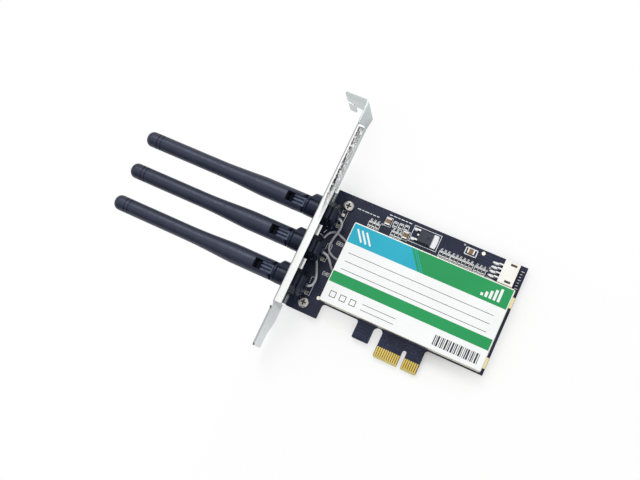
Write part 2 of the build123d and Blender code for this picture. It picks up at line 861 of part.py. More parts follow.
with BuildPart() as module_board:
    with BuildSketch(Plane.XY.offset(module_lift)):
        with Locations((module_left, module_middle)):
            Rectangle(module_length, module_width, align=(Align.MIN, Align.CENTER))
        with Locations(*hole_places):
            Circle(module_screw_hole / 2, mode=Mode.SUBTRACT)
    extrude(amount=module_thickness)
module_board.part.label = "module_board"
export_step(module_board.part, "parts/module_board.step")

with BuildPart() as module_shield:
    with BuildSketch(Plane.XY.offset(module_top)):
        with Locations((socket_left - module_can_gap - module_can_length / 2, module_middle)):
            RectangleRounded(module_can_length, module_can_width, module_can_corner)
    extrude(amount=module_can_height)
    offset(amount=-cover_sheet / 2, openings=module_shield.faces().sort_by(Axis.Z)[0])
module_shield.part.label = "module_shield"
export_step(module_shield.part, "parts/module_shield.step")

with BuildPart() as module_socket:
    with BuildSketch():
        with Locations((socket_left, module_middle)):
            Rectangle(socket_length, module_width + 2 * socket_side, align=(Align.MIN, Align.CENTER))
    extrude(amount=socket_height)
    with BuildSketch(Plane.YZ.offset(socket_left)):
        with Locations((module_middle, module_lift + module_thickness / 2)):
            Rectangle(module_width + 2 * socket_clearance, module_thickness + 2 * socket_clearance)
    extrude(amount=socket_slot_depth + socket_clearance, mode=Mode.SUBTRACT)
module_socket.part.label = "module_socket"
export_step(module_socket.part, "parts/module_socket.step")

with BuildPart() as module_standoffs:
    with BuildSketch():
        with Locations(*hole_places):
            Circle(standoff_diameter / 2)
            Circle(module_screw_diameter / 2 + thread_clearance, mode=Mode.SUBTRACT)
    extrude(amount=module_lift)
module_standoffs.part.label = "module_standoffs"
export_step(module_standoffs.part, "parts/module_standoffs.step")

with BuildPart() as module_screws:
    with BuildSketch(Plane.XY.offset(module_top)):
        with Locations(*hole_places):
            Circle(module_head_diameter / 2)
    extrude(amount=module_head_height)
    with BuildSketch(Plane.XY.offset(module_top)):
        with Locations(*hole_places):
            Circle(module_screw_diameter / 2)
    extrude(amount=-(module_thickness + module_lift))
    with BuildSketch(Plane.XY.offset(module_top + module_head_height)):
        with Locations(*hole_places):
            Rectangle(module_screw_diameter, recess_width)
            Rectangle(recess_width, module_screw_diameter)
    extrude(amount=-module_head_height / 2, mode=Mode.SUBTRACT)
module_screws.part.label = "module_screws"
export_step(module_screws.part, "parts/module_screws.step")

# Right-angle pin header: an open-fronted housing with two latch slots, and four bent pins.
inner_width = header_width - 2 * header_wall

with BuildPart() as header_housing:
    with BuildSketch():
        with Locations((header_back, header_middle)):
            Rectangle(header_length, header_width, align=(Align.MIN, Align.CENTER))
    extrude(amount=header_height)
    with BuildSketch(Plane.YZ.offset(header_back + header_rear_wall)):
        with Locations((header_middle, header_height / 2)):
            Rectangle(inner_width, header_height - 2 * header_wall)
    extrude(amount=header_length, mode=Mode.SUBTRACT)
    with BuildSketch(Plane.XY.offset(header_height)):
        with Locations((header_front - header_length / 2 + header_wall, header_middle)):
            with GridLocations(1, inner_width - header_slot_width, 1, 2):
                Rectangle(header_slot_length, header_slot_width)
    extrude(amount=-header_wall, mode=Mode.SUBTRACT)
    with BuildSketch(Plane.YZ.offset(header_back)):
        with Locations((header_middle, pin_axis)):
            with GridLocations(pin_pitch, 1, pin_count, 1):
                Rectangle(pin_width + 2 * thread_clearance, pin_width + 2 * thread_clearance)
    extrude(amount=header_rear_wall, mode=Mode.SUBTRACT)
header_housing.part.label = "header_housing"
export_step(header_housing.part, "parts/header_housing.step")

with BuildPart() as header_pins:
    pin_end = header_back + pin_reach
    pin_bend = header_back - pin_drop
    for n in range(pin_count):
        pin_row = header_middle + (n - (pin_count - 1) / 2) * pin_pitch
        with BuildSketch(Plane.XZ.offset(-pin_row)):
            with BuildLine():
                Polyline(
                    (pin_end, pin_axis - pin_width / 2),
                    (pin_end, pin_axis + pin_width / 2),
                    (pin_bend - pin_width, pin_axis + pin_width / 2),
                    (pin_bend - pin_width, pin_width),
                    (pin_bend - pin_width - pin_foot, pin_width),
                    (pin_bend - pin_width - pin_foot, 0),
                    (pin_bend, 0),
                    (pin_bend, pin_axis - pin_width / 2),
                    close=True,
                )
            make_face()
        extrude(amount=pin_width / 2, both=True)
header_pins.part.label = "header_pins"
export_step(header_pins.part, "parts/header_pins.step")

# Voltage regulator: a drafted body on a lead frame with a heat tab and two long leads.
regulator_left = on_strip(regulator_share, 0)[0]
regulator_middle = board_height - regulator_to_top - regulator_width / 2
regulator_right = regulator_left + regulator_length

with BuildPart() as regulator_body:
    with BuildSketch(Plane.XY.offset(frame_thickness)):
        with Locations((regulator_left, regulator_middle)):
            Rectangle(regulator_length, regulator_width, align=(Align.MIN, Align.CENTER))
    extrude(amount=regulator_height - frame_thickness, taper=regulator_draft)
    with BuildSketch(Plane.XY.offset(regulator_height)):
        with Locations((regulator_left + dimple_share * regulator_length, regulator_middle)):
            Circle(regulator_dimple / 2)
    extrude(amount=-pad_thickness, mode=Mode.SUBTRACT)
regulator_body.part.label = "regulator_body"
export_step(regulator_body.part, "parts/regulator_body.step")

with BuildPart() as regulator_leads:
    with BuildSketch():
        with Locations((regulator_left, regulator_middle)):
            Rectangle(regulator_length, regulator_width, align=(Align.MIN, Align.CENTER))
        with Locations((regulator_right, regulator_middle)):
            Rectangle(tab_plate_reach, tab_plate_width, align=(Align.MIN, Align.CENTER))
    extrude(amount=frame_thickness)
    lead_bend = regulator_left - lead_shoulder
    for side_step in (-1, 1):
        with BuildSketch(Plane.XZ.offset(-(regulator_middle + side_step * lead_spacing / 2))):
            with BuildLine():
                Polyline(
                    (regulator_left, lead_exit),
                    (regulator_left, lead_exit + lead_thickness),
                    (lead_bend - lead_thickness, lead_exit + lead_thickness),
                    (lead_bend - lead_thickness, lead_thickness),
                    (regulator_left - lead_reach, lead_thickness),
                    (regulator_left - lead_reach, 0),
                    (lead_bend, 0),
                    (lead_bend, lead_exit),
                    close=True,
                )
            make_face()
        extrude(amount=lead_width / 2, both=True)
    with BuildSketch(Plane.XY.offset(lead_exit)):
        with Locations((regulator_left, regulator_middle)):
            Rectangle(lead_width, lead_width, align=(Align.MAX, Align.CENTER))
    extrude(amount=lead_thickness)
regulator_leads.part.label = "regulator_leads"
export_step(regulator_leads.part, "parts/regulator_leads.step")

# Chips stand across the strip above the cover: in rows, given by the first chip's place, and singly.
chip_rows = [on_strip(*shares) for shares in ((0.083, 0.245), (0.249, 0.23), (0.594, 0.23))]
chip_rows += [on_strip(*shares) for shares in ((0.677, 0.232), (0.8445, 0.222))]
chip_counts = (3, 3, 3, 6, 3)
chip_places = [(x + n * chip_pitch, y) for (x, y), count in zip(chip_rows, chip_counts) for n in range(count)]
chip_places += [on_strip(0.24, 0.575), on_strip(0.28, 0.585), on_strip(0.319, 0.615)]
capacitor_places = [on_strip(0.191, 0.58), on_strip(0.333, 0.35)]
flat_capacitor = on_strip(0.772, 0.735)

with BuildPart() as chip_resistors:
    with BuildSketch():
        with Locations(*chip_places):
            Rectangle(chip_width, chip_length - 2 * chip_cap)
    extrude(amount=chip_height)
chip_resistors.part.label = "chip_resistors"
export_step(chip_resistors.part, "parts/chip_resistors.step")

with BuildPart() as ceramic_capacitors:
    with BuildSketch():
        with Locations(*capacitor_places):
            Rectangle(capacitor_width, capacitor_length - 2 * capacitor_cap)
        with Locations(flat_capacitor):
            Rectangle(capacitor_length - 2 * capacitor_cap, capacitor_width)
    extrude(amount=capacitor_height)
ceramic_capacitors.part.label = "ceramic_capacitors"
export_step(ceramic_capacitors.part, "parts/ceramic_capacitors.step")

with BuildPart() as chip_terminals:
    with BuildSketch():
        with Locations(*chip_places):
            with GridLocations(1, chip_length - chip_cap, 1, 2):
                Rectangle(chip_width, chip_cap)
    extrude(amount=chip_height)
    with BuildSketch():
        with Locations(*capacitor_places):
            with GridLocations(1, capacitor_length - capacitor_cap, 1, 2):
                Rectangle(capacitor_width, capacitor_cap)
        with Locations(flat_capacitor):
            with GridLocations(capacitor_length - capacitor_cap, 1, 2, 1):
                Rectangle(capacitor_cap, capacitor_width)
    extrude(amount=capacitor_height)
chip_terminals.part.label = "chip_terminals"
export_step(chip_terminals.part, "parts/chip_terminals.step")

# Bare plated pads: alignment dots, and small pads where the antenna nuts end.
dot_places = [(cover_left - dot_inset, lower_edge + dot_inset), on_strip(0.85, 0.868)]
pad_x = plate_inner + nut_thickness + pad_gap
pad_places = [(pad_x, row - pad_drop) for row in antenna_rows] + [(pad_x, row_1 + pad_rise)]

with BuildPart() as bare_pads:
    with BuildSketch():
        with Locations(*dot_places):
            Circle(dot_diameter / 2)
        with Locations(*pad_places):
            Rectangle(pad_size, pad_size)
    extrude(amount=pad_thickness)
bare_pads.part.label = "bare_pads"
export_step(bare_pads.part, "parts/bare_pads.step")
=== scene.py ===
"""Dresses the radio card: finishes, leads, print, solder, studio floor and light."""

import json
import math

import bpy
from mathutils import Matrix, Vector


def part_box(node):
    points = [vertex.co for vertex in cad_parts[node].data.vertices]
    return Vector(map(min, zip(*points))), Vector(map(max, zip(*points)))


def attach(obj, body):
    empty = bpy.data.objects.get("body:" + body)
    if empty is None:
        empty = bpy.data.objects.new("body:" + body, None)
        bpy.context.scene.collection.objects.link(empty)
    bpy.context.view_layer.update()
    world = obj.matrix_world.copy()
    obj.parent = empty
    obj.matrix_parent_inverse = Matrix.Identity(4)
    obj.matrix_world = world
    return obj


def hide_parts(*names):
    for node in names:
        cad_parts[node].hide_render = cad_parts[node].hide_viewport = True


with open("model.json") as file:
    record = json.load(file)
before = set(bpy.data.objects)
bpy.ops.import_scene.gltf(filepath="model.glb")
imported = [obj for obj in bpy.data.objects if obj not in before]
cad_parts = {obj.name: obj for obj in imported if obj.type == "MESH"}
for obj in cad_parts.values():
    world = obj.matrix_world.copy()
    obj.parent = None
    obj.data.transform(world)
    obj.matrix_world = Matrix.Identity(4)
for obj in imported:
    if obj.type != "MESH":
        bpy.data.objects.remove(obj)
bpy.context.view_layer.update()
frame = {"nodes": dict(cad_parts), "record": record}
nodes = frame["nodes"]
bpy.ops.object.select_all(action="DESELECT")

MM = 0.001

# Values that the finishes share
ANTENNA_HEIGHT = 7.0 * MM
COOL = (0.72, 0.8, 1.0)
base_low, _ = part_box("antenna_base_1")
rib_start = base_low.x - 1.7 * MM
screw_low, screw_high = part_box("bracket_screws")
screw_x = (screw_low.x + screw_high.x) / 2
head_radius = 2.6 * MM
screw_rows = (screw_low.y + head_radius, screw_high.y - head_radius)
cover_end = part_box("label")[1].x + 0.32 * MM


# Node helpers
def linear(red, green, blue):
    """A colour given in screen values from 0 to 255, as the shader wants it."""
    def channel(value):
        share = value / 255
        return share / 12.92 if share <= 0.04045 else ((share + 0.055) / 1.055) ** 2.4

    return channel(red), channel(green), channel(blue), 1.0


class Graph:
    """A node tree and the few moves that the finishes and the sky share."""

    def __init__(self, tree):
        self.tree = tree

    def node(self, kind, links=(), **settings):
        made = self.tree.nodes.new(kind)
        for key, value in settings.items():
            setattr(made, key, value)
        for socket, source in dict(links).items():
            self.feed(made.inputs[socket], source)
        return made

    def feed(self, socket, source):
        if isinstance(source, bpy.types.NodeSocket):
            self.tree.links.new(source, socket)
        else:
            socket.default_value = source

    def between(self, source, low, high, left=0.3, right=0.7):
        made = self.node("ShaderNodeMapRange", {"Value": source})
        made.inputs["From Min"].default_value = left
        made.inputs["From Max"].default_value = right
        made.inputs["To Min"].default_value = low
        made.inputs["To Max"].default_value = high
        return made.outputs["Result"]

    def math(self, operation, first, second=0.0, third=0.0):
        made = self.node("ShaderNodeMath", operation=operation)
        for socket, source in zip(made.inputs, (first, second, third)):
            self.feed(socket, source)
        return made.outputs["Value"]

    def mix(self, share, first, second):
        made = self.node("ShaderNodeMix", data_type="RGBA")
        self.feed(made.inputs["Factor"], share)
        self.feed(made.inputs["A"], first)
        self.feed(made.inputs["B"], second)
        return made.outputs["Result"]

    def level(self, share, first, second):
        made = self.node("ShaderNodeMix", {"Factor": share, "A": first, "B": second})
        return made.outputs["Result"]

    def axes(self, where=None):
        split = self.node("ShaderNodeSeparateXYZ", {"Vector": where or self.place})
        return split.outputs["X"], split.outputs["Y"], split.outputs["Z"]


class Finish(Graph):
    """A material on a principled shader, drawn by the piece's own coordinates."""

    def __init__(self, name, metallic=0.0, roughness=0.5):
        self.material = bpy.data.materials.new(name)
        self.material.use_nodes = True
        super().__init__(self.material.node_tree)
        self.shader = self.tree.nodes["Principled BSDF"]
        self.shader.inputs["Metallic"].default_value = metallic
        self.shader.inputs["Roughness"].default_value = roughness
        self.place = self.tree.nodes.new("ShaderNodeTexCoord").outputs["Object"]

    def scaled(self, x, y, z):
        """Object coordinates stretched along each axis."""
        mapping = self.node("ShaderNodeMapping", {"Vector": self.place})
        mapping.inputs["Scale"].default_value = (x, y, z)
        return mapping.outputs["Vector"]

    def noise(self, scale, detail=3.0, rough=0.55, where=None):
        made = self.node("ShaderNodeTexNoise", {"Vector": where or self.place})
        made.inputs["Scale"].default_value = scale
        made.inputs["Detail"].default_value = detail
        made.inputs["Roughness"].default_value = rough
        return made.outputs["Fac"]

    def ramp(self, source, low, high, left=0.3, right=0.7):
        made = self.node("ShaderNodeValToRGB", {"Fac": source})
        made.color_ramp.elements[0].position = left
        made.color_ramp.elements[0].color = low
        made.color_ramp.elements[1].position = right
        made.color_ramp.elements[1].color = high
        return made.outputs["Color"]

    def inside(self, value, low, high):
        """1 where the value lies between the two limits, in metres."""
        middle, half = (low + high) / 2, (high - low) / 2
        return self.math("COMPARE", value, middle, half)

    def all_of(self, *shares):
        """The product of several shares."""
        product = shares[0]
        for share in shares[1:]:
            product = self.math("MULTIPLY", product, share)
        return product

    def within(self, x, y, radius):
        """1 inside an upright cylinder about a place on the board."""
        across, along, _ = self.axes()
        square_x = self.math("POWER", self.math("SUBTRACT", across, x), 2.0)
        square_y = self.math("POWER", self.math("SUBTRACT", along, y), 2.0)
        return self.math("LESS_THAN", self.math("ADD", square_x, square_y), radius * radius)

    def bump(self, height, strength, distance):
        made = self.node("ShaderNodeBump", {"Height": height})
        made.inputs["Strength"].default_value = strength
        made.inputs["Distance"].default_value = distance
        self.tree.links.new(made.outputs["Normal"], self.shader.inputs["Normal"])

    def colour(self, source):
        self.feed(self.shader.inputs["Base Color"], source)

    def roughness(self, source):
        self.feed(self.shader.inputs["Roughness"], source)

    def gloss(self, level, tint=(1.0, 1.0, 1.0)):
        self.shader.inputs["Specular IOR Level"].default_value = level
        self.shader.inputs["Specular Tint"].default_value = (*tint, 1.0)


def moulding(name, dark, pale, roughness, grain, gloss=0.5, tint=(1.0, 1.0, 1.0), seam=None):
    """Moulded plastic: a fine grain, flow clouds, a satin sheen and a parting line at a height."""
    finish = Finish(name)
    finish.gloss(gloss, tint)
    finish.base = finish.ramp(finish.noise(160.0), linear(*dark), linear(*pale))
    finish.colour(finish.base)
    finish.roughness(finish.between(finish.noise(420.0), roughness - 0.06, roughness + 0.08))
    height = finish.noise(5200.0, 2.0)
    if seam is not None:
        half_line = 0.07 * MM
        parting = finish.inside(finish.axes()[2], seam - half_line, seam + half_line)
        height = finish.math("MULTIPLY_ADD", parting, 1.5, height)
    finish.bump(height, grain, 0.00006)
    return finish


def plate_metal(name, dark, pale, rough, streak):
    """Plated or tinned metal: drawn streaks along the sheet and a cloudy haze."""
    finish = Finish(name, metallic=1.0)
    finish.base = finish.ramp(finish.noise(90.0, 4.0), linear(*dark), linear(*pale))
    finish.colour(finish.base)
    lines = finish.noise(900.0, 2.0, where=finish.scaled(1.0, 0.06, 1.0))
    finish.sheen = finish.between(lines, rough - 0.05, rough + 0.09)
    finish.roughness(finish.sheen)
    finish.bump(lines, streak, 0.00002)
    return finish


# Finishes
def solder_mask(name, dark, pale, lower):
    """Glossy mask with buried traces, dark routed edges and bare laminate on the bevel."""
    finish = Finish(name)
    finish.gloss(0.25)
    across, along, _ = finish.axes()
    stretched = finish.scaled(1.0, 1.6, 0.0)
    cell = finish.node("ShaderNodeTexVoronoi", {"Vector": stretched}, distance="CHEBYCHEV")
    cell.inputs["Scale"].default_value = 105.0
    turned = finish.math("GREATER_THAN", finish.axes(cell.outputs["Color"])[0], 0.5)
    half_pitch, half_trace = 0.7 * MM, 0.28 * MM
    rows = finish.math("PINGPONG", along, half_pitch)
    files = finish.math("PINGPONG", across, half_pitch)
    lanes = finish.level(turned, rows, files)
    trace = finish.math("LESS_THAN", lanes, half_trace)
    routed = finish.math("GREATER_THAN", finish.noise(70.0), 0.5)
    buried = finish.math("MULTIPLY", trace, routed)
    mask = finish.ramp(finish.noise(130.0), linear(*dark), linear(*pale))
    over_copper = linear(*[value * 1.5 + 8 for value in pale])
    raised = finish.mix(finish.math("MULTIPLY", buried, 0.35), mask, over_copper)
    normal = finish.axes(finish.node("ShaderNodeNewGeometry").outputs["Normal"])
    steep = finish.math("ABSOLUTE", normal[2])
    cut = finish.math("LESS_THAN", steep, lower)
    grain = finish.noise(2600.0, where=finish.scaled(0.4, 0.4, 4.0))
    routed_edge = finish.ramp(grain, linear(46, 46, 42), linear(74, 72, 60))
    bevel = finish.ramp(grain, linear(180, 166, 100), linear(216, 202, 136))
    edge = finish.mix(finish.math("GREATER_THAN", steep, 0.1), routed_edge, bevel)
    finish.colour(finish.mix(cut, raised, edge))
    satin = finish.between(finish.noise(700.0), 0.3, 0.42)
    finish.roughness(finish.math("MULTIPLY_ADD", cut, 0.3, satin))
    finish.bump(buried, 0.25, 0.00003)
    return finish


def bright_nickel():
    """Nickel on the folded sheet: a painted highlight on the flange face, dull on the tab, a
    painted dark reflection streak higher up.
    """
    finish = plate_metal("bright_nickel", (196, 203, 204), (214, 219, 220), 0.2, 0.04)
    flange_end, flange_level = 91.2 * MM, 14.6 * MM
    bend_level, tongue_end, tab_start = 13.7 * MM, 2.0 * MM, -60.2 * MM
    across, along, height = finish.axes()
    normal = finish.axes(finish.node("ShaderNodeNewGeometry").outputs["Normal"])
    upward = finish.math("GREATER_THAN", normal[2], 0.8)
    inward = finish.math("GREATER_THAN", normal[0], 0.5)
    outward = finish.math("LESS_THAN", normal[0], -0.3)
    on_top = finish.math("GREATER_THAN", height, flange_level)
    face = finish.all_of(upward, finish.math("LESS_THAN", along, flange_end), on_top)
    tongue = finish.math("LESS_THAN", along, tongue_end)
    flare = finish.all_of(inward, finish.math("GREATER_THAN", along, flange_end))
    bend = finish.all_of(outward, finish.math("GREATER_THAN", height, bend_level))
    # Painted light and shade by how each part faces: the tongue is drawn lighter; the inner flare,
    # the outer bend and the upward cut edges are drawn darker; the flange face is drawn bright as
    # a painted highlight.
    sheet = finish.mix(tongue, finish.base, linear(224, 228, 230))
    sheet = finish.mix(flare, sheet, linear(178, 187, 188))
    sheet = finish.mix(bend, sheet, linear(168, 172, 172))
    sheet = finish.mix(upward, sheet, linear(176, 182, 183))
    sheet = finish.mix(face, sheet, linear(245, 246, 245))
    tab_edge = finish.all_of(upward, finish.math("LESS_THAN", across, tab_start), on_top)
    finish.roughness(finish.level(tab_edge, finish.sheen, 0.55))
    # The painted dark reflection streak keeps clear of the bend. It thins out downwards from the
    # middle of the flange.
    middle = 56.0 * MM
    past = finish.math("SUBTRACT", along, middle)
    shifted = finish.math("MULTIPLY_ADD", finish.math("MINIMUM", past, 0.0), 0.09, across)
    shifted = finish.math("MULTIPLY_ADD", finish.math("MAXIMUM", past, 0.0), 0.0085, shifted)
    left = finish.between(shifted, 0.0, 1.0, -58.44 * MM, -58.29 * MM)
    fade = finish.between(shifted, 0.0, 1.0, -57.5 * MM, -56.7 * MM)
    drop = finish.between(along, -0.5, -0.12, middle, 88.0 * MM)
    right = finish.math("MULTIPLY_ADD", fade, drop, 1.0)
    upper = finish.between(along, 0.0, 1.0, 42.0 * MM, 60.0 * MM)
    end = finish.math("LESS_THAN", along, 90.4 * MM)
    reflection_speckle_noise = finish.noise(1700.0, 2.0, 0.6, finish.scaled(1.0, 0.5, 1.0))
    speckle = finish.between(reflection_speckle_noise, 0.5, 1.0, 0.41, 0.51)
    half_ridge = 0.42 * MM
    wave = finish.math("PINGPONG", finish.math("ADD", shifted, 58.6 * MM), half_ridge)
    ridges = finish.between(wave, 1.0, 0.72, 0.0, half_ridge)
    ribbed = finish.level(finish.between(along, 0.0, 1.0, 62.0 * MM, 82.0 * MM), 1.0, ridges)
    painted_reflection_streak = finish.all_of(face, left, right, upper, end, speckle, ribbed)
    # Painted reflection: a dark speckled streak drawn on the flange face.
    finish.colour(finish.mix(painted_reflection_streak, sheet, linear(14, 14, 14)))
    return finish


def screw_plate():
    """Screw plating, rubbed on the dome, with painted shade in the cross recess."""
    finish = plate_metal("screw_plate", (128, 122, 116), (226, 224, 220), 0.26, 0.05)
    deep = finish.math("LESS_THAN", finish.axes()[2], 1.66 * MM)
    recess = finish.math("MAXIMUM", *[finish.within(screw_x, y, 1.4 * MM) for y in screw_rows])
    # Painted shade: the cross recess is drawn dark.
    finish.colour(finish.mix(finish.all_of(recess, deep), finish.base, linear(66, 62, 60)))
    return finish


def cover_tin():
    """Tinned cover sheet, with a warm flux film on the solder feet."""
    finish = plate_metal("tinned_sheet", (226, 222, 206), (240, 236, 220), 0.32, 0.06)
    feet = finish.math("GREATER_THAN", finish.axes()[0], cover_end)
    finish.colour(finish.mix(feet, finish.base, linear(244, 232, 182)))
    return finish


def hinge_moulding():
    """Glossy black moulding, with a painted highlight on the crests of the hinge ribs."""
    finish = moulding("hinge_moulding", (20, 25, 41), (28, 33, 51), 0.3, 0.12, 0.36, COOL)
    across, _, height = finish.axes()
    crest = finish.between(height, 0.0, 1.0, 9.2 * MM, 9.6 * MM)
    beyond = finish.math("LESS_THAN", across, rib_start)
    # Painted highlight: the rib crests beyond the base are drawn pale, in speckles.
    painted_crest_highlight = finish.all_of(crest, beyond, finish.between(finish.noise(900.0), 0.5, 1.0))
    finish.colour(finish.mix(painted_crest_highlight, finish.base, linear(92, 100, 122)))
    return finish


def header_moulding():
    """Cream moulding, with painted shade on the walls of the mating cavity."""
    finish = moulding("cream_moulding", (245, 242, 235), (251, 249, 243), 0.42, 0.08)
    across, along, height = finish.axes()
    low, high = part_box("header_housing")
    back_wall, side_wall = 1.78 * MM, 0.77 * MM
    behind = finish.math("GREATER_THAN", across, low.x + back_wall)
    sides = finish.inside(along, low.y + side_wall, high.y - side_wall)
    storey = finish.inside(height, side_wall, high.z - side_wall)
    cavity = finish.all_of(behind, sides, storey)
    # Painted shade: the walls inside the cavity are drawn darker.
    finish.colour(finish.mix(cavity, finish.base, linear(176, 156, 128)))
    return finish


def package_moulding():
    """Regulator body, with painted shade in the ejector dimple."""
    finish = moulding("package_moulding", (38, 42, 58), (48, 52, 68), 0.5, 0.3)
    low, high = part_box("regulator_body")
    dimple_x = low.x + 0.72 * (high.x - low.x)
    dimple = finish.within(dimple_x, (low.y + high.y) / 2, 0.62 * MM)
    # Painted shade: the ejector dimple is drawn near black.
    finish.colour(finish.mix(dimple, finish.base, linear(6, 6, 10)))
    return finish


finishes = {
    "solder_mask": solder_mask("navy_solder_mask", (25, 31, 52), (33, 39, 62), 0.97),
    "module_mask": solder_mask("green_solder_mask", (14, 70, 40), (22, 92, 52), 0.7),
    "contact_gold": plate_metal("hard_gold", (214, 184, 88), (232, 204, 112), 0.24, 0.05),
    "nickel_plate": bright_nickel(),
    "screw_steel": screw_plate(),
    "antenna_plastic": moulding(
        "charcoal_moulding", (35, 38, 54), (43, 46, 63), 0.36, 0.25, 0.62, COOL, ANTENNA_HEIGHT
    ),
    "nut_plastic": moulding("black_moulding", (13, 18, 28), (20, 26, 38), 0.36, 0.2, 0.38, COOL),
    "coax_jacket": moulding("grey_jacket", (158, 161, 167), (182, 184, 189), 0.34, 0.05),
    "radiator_brass": plate_metal("drawn_brass", (96, 74, 40), (118, 92, 54), 0.4, 0.06),
    "tinned_sheet": cover_tin(),
    "socket_plastic": moulding("socket_moulding", (28, 28, 30), (38, 38, 40), 0.45, 0.2),
    "header_plastic": header_moulding(),
    "tinned_lead": plate_metal("tinned_lead", (216, 218, 220), (240, 241, 242), 0.26, 0.05),
    "regulator_plastic": package_moulding(),
    "chip_body": moulding("glazed_film", (34, 34, 42), (48, 48, 56), 0.3, 0.05),
    "ceramic_body": moulding("bare_ceramic", (118, 92, 62), (160, 128, 92), 0.5, 0.1),
}
black_hinge = hinge_moulding()
pale_pad = plate_metal("tinned_pad", (236, 230, 204), (250, 246, 226), 0.34, 0.05)
own_finish = {"bare_pads": pale_pad}
for number in (1, 2, 3):
    own_finish[f"knuckle_{number}"] = black_hinge
    own_finish[f"antenna_base_{number}"] = black_hinge


def label_film():
    """Printed film: bands of colour on white, drawn by place on the label."""
    finish = Finish("label_film")
    finish.gloss(0.3)
    low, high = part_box("label")
    across, along, _ = finish.axes()
    white = finish.ramp(finish.noise(60.0), linear(244, 246, 246), linear(250, 251, 251))
    teal = finish.ramp(finish.noise(50.0), linear(34, 170, 196), linear(42, 178, 203))
    green = finish.ramp(finish.noise(50.0), linear(28, 150, 84), linear(34, 158, 90))
    border = 0.25 * MM
    band_foot, band_head = high.y - 9.4 * MM, high.y - border
    stripe_foot, stripe_head = low.y + 9.3 * MM, low.y + 14.4 * MM
    between_ends = finish.inside(across, low.x + border, high.x - border)
    top_band = finish.all_of(finish.inside(along, band_foot, band_head), between_ends)
    lower_band = finish.all_of(finish.inside(along, stripe_foot, stripe_head), between_ends)
    # The join between the two colours leans: it moves to the right as it goes down the band.
    slope = 0.735
    lean = finish.math("MULTIPLY_ADD", along, slope, across)
    join = -15.1 * MM + 50.1 * MM * slope
    on_green = finish.math("GREATER_THAN", lean, join)
    first_line = finish.inside(lean, join + 1.15 * MM, join + 1.5 * MM)
    second_line = finish.inside(lean, join + 2.15 * MM, join + 2.5 * MM)
    lines = finish.math("ADD", first_line, second_line)
    band = finish.mix(on_green, teal, green)
    band = finish.mix(lines, band, teal)
    printed = finish.mix(top_band, white, band)
    printed = finish.mix(lower_band, printed, green)
    finish.colour(printed)
    finish.roughness(finish.between(finish.noise(300.0), 0.26, 0.36))
    finish.bump(finish.noise(500.0), 0.03, 0.00004)
    return finish


finishes["label_film"] = label_film()
ink = moulding("white_ink", (242, 243, 244), (250, 250, 250), 0.55, 0.05)
dark_ink = moulding("dark_ink", (34, 36, 40), (48, 50, 54), 0.5, 0.05)
slot_of = {part["node"]: part["material_slot"] for part in frame["record"]["subparts"]}


def dress(piece, finish):
    piece.data.materials.clear()
    piece.data.materials.append(finish.material)


for name, node in nodes.items():
    dress(node, own_finish.get(name, finishes[slot_of[name]]))

# Coax leads
ROW_1, ROW_2, ROW_3 = 49.4, 32.6, 15.8
leads = {
    "coax_1": [
        (-52.4, ROW_1, 7.0), (-48.7, ROW_1, 7.0), (-48.2, 45.9, 4.0), (-50.2, 40.6, 1.3),
        (-50.6, 36.2, 0.665), (-48.0, 33.4, 0.715), (-42.8, 32.5, 0.665), (-37.2, 31.8, 1.5),
        (-31.8, 31.9, 3.2), (-27.45, 31.85, 4.0), (-22.45, 31.85, 4.0),
    ],
    "coax_2": [
        (-52.4, ROW_2, 7.0), (-48.9, ROW_2, 7.0), (-46.7, 30.6, 4.0), (-44.4, 27.2, 1.2),
        (-39.6, 25.1, 0.9), (-34.4, 24.7, 1.7), (-30.4, 24.9, 3.2), (-27.45, 24.85, 4.0),
        (-22.45, 24.85, 4.0),
    ],
    "coax_3": [
        (-52.4, ROW_3, 7.0), (-48.9, ROW_3, 7.0), (-48.3, 19.8, 4.8), (-50.6, 24.6, 1.9),
        (-53.2, 29.2, 0.665), (-54.3, 34.8, 0.715), (-54.5, 40.4, 0.665), (-51.6, 44.4, 0.715),
        (-46.6, 43.2, 0.665), (-41.2, 40.4, 0.9), (-35.6, 39.2, 1.7), (-31.0, 38.8, 3.2),
        (-27.45, 38.85, 4.0), (-22.45, 38.85, 4.0),
    ],
}
lead_diameter = 1.13 * MM


def lay_lead(name, route):
    curve = bpy.data.curves.new(name + "_jacket", "CURVE")
    curve.dimensions = "3D"
    curve.resolution_u = 12
    curve.bevel_depth = lead_diameter / 2
    curve.bevel_resolution = 5
    curve.use_fill_caps = True
    spline = curve.splines.new("NURBS")
    spline.points.add(len(route) - 1)
    for point, place in zip(spline.points, route):
        point.co = (place[0] * MM, place[1] * MM, place[2] * MM, 1.0)
    spline.order_u = 3
    spline.use_endpoint_u = True
    lead = bpy.data.objects.new(name + "_jacket", curve)
    bpy.context.scene.collection.objects.link(lead)
    dress(lead, finishes["coax_jacket"])
    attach(lead, "card")
    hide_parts(name)
    return lead


for name, route in leads.items():
    lead = lay_lead(name, route)
    start = [c * MM for c in route[0]]

# Print and silkscreen
pcb_low, pcb_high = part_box("pcb")
cover_low, cover_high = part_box("shield_cover")
_, label_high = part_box("label")
header_low, header_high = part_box("header_housing")
regulator_low, regulator_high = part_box("regulator_body")
pins_low, pins_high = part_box("header_pins")


def select_faces(piece, wanted):
    """Selects the faces that the test accepts, with the piece in edit mode."""
    bpy.ops.mesh.select_all(action="DESELECT")
    bpy.ops.object.mode_set(mode="OBJECT")
    for face in piece.data.polygons:
        face.select = wanted(face)
    bpy.ops.object.mode_set(mode="EDIT")


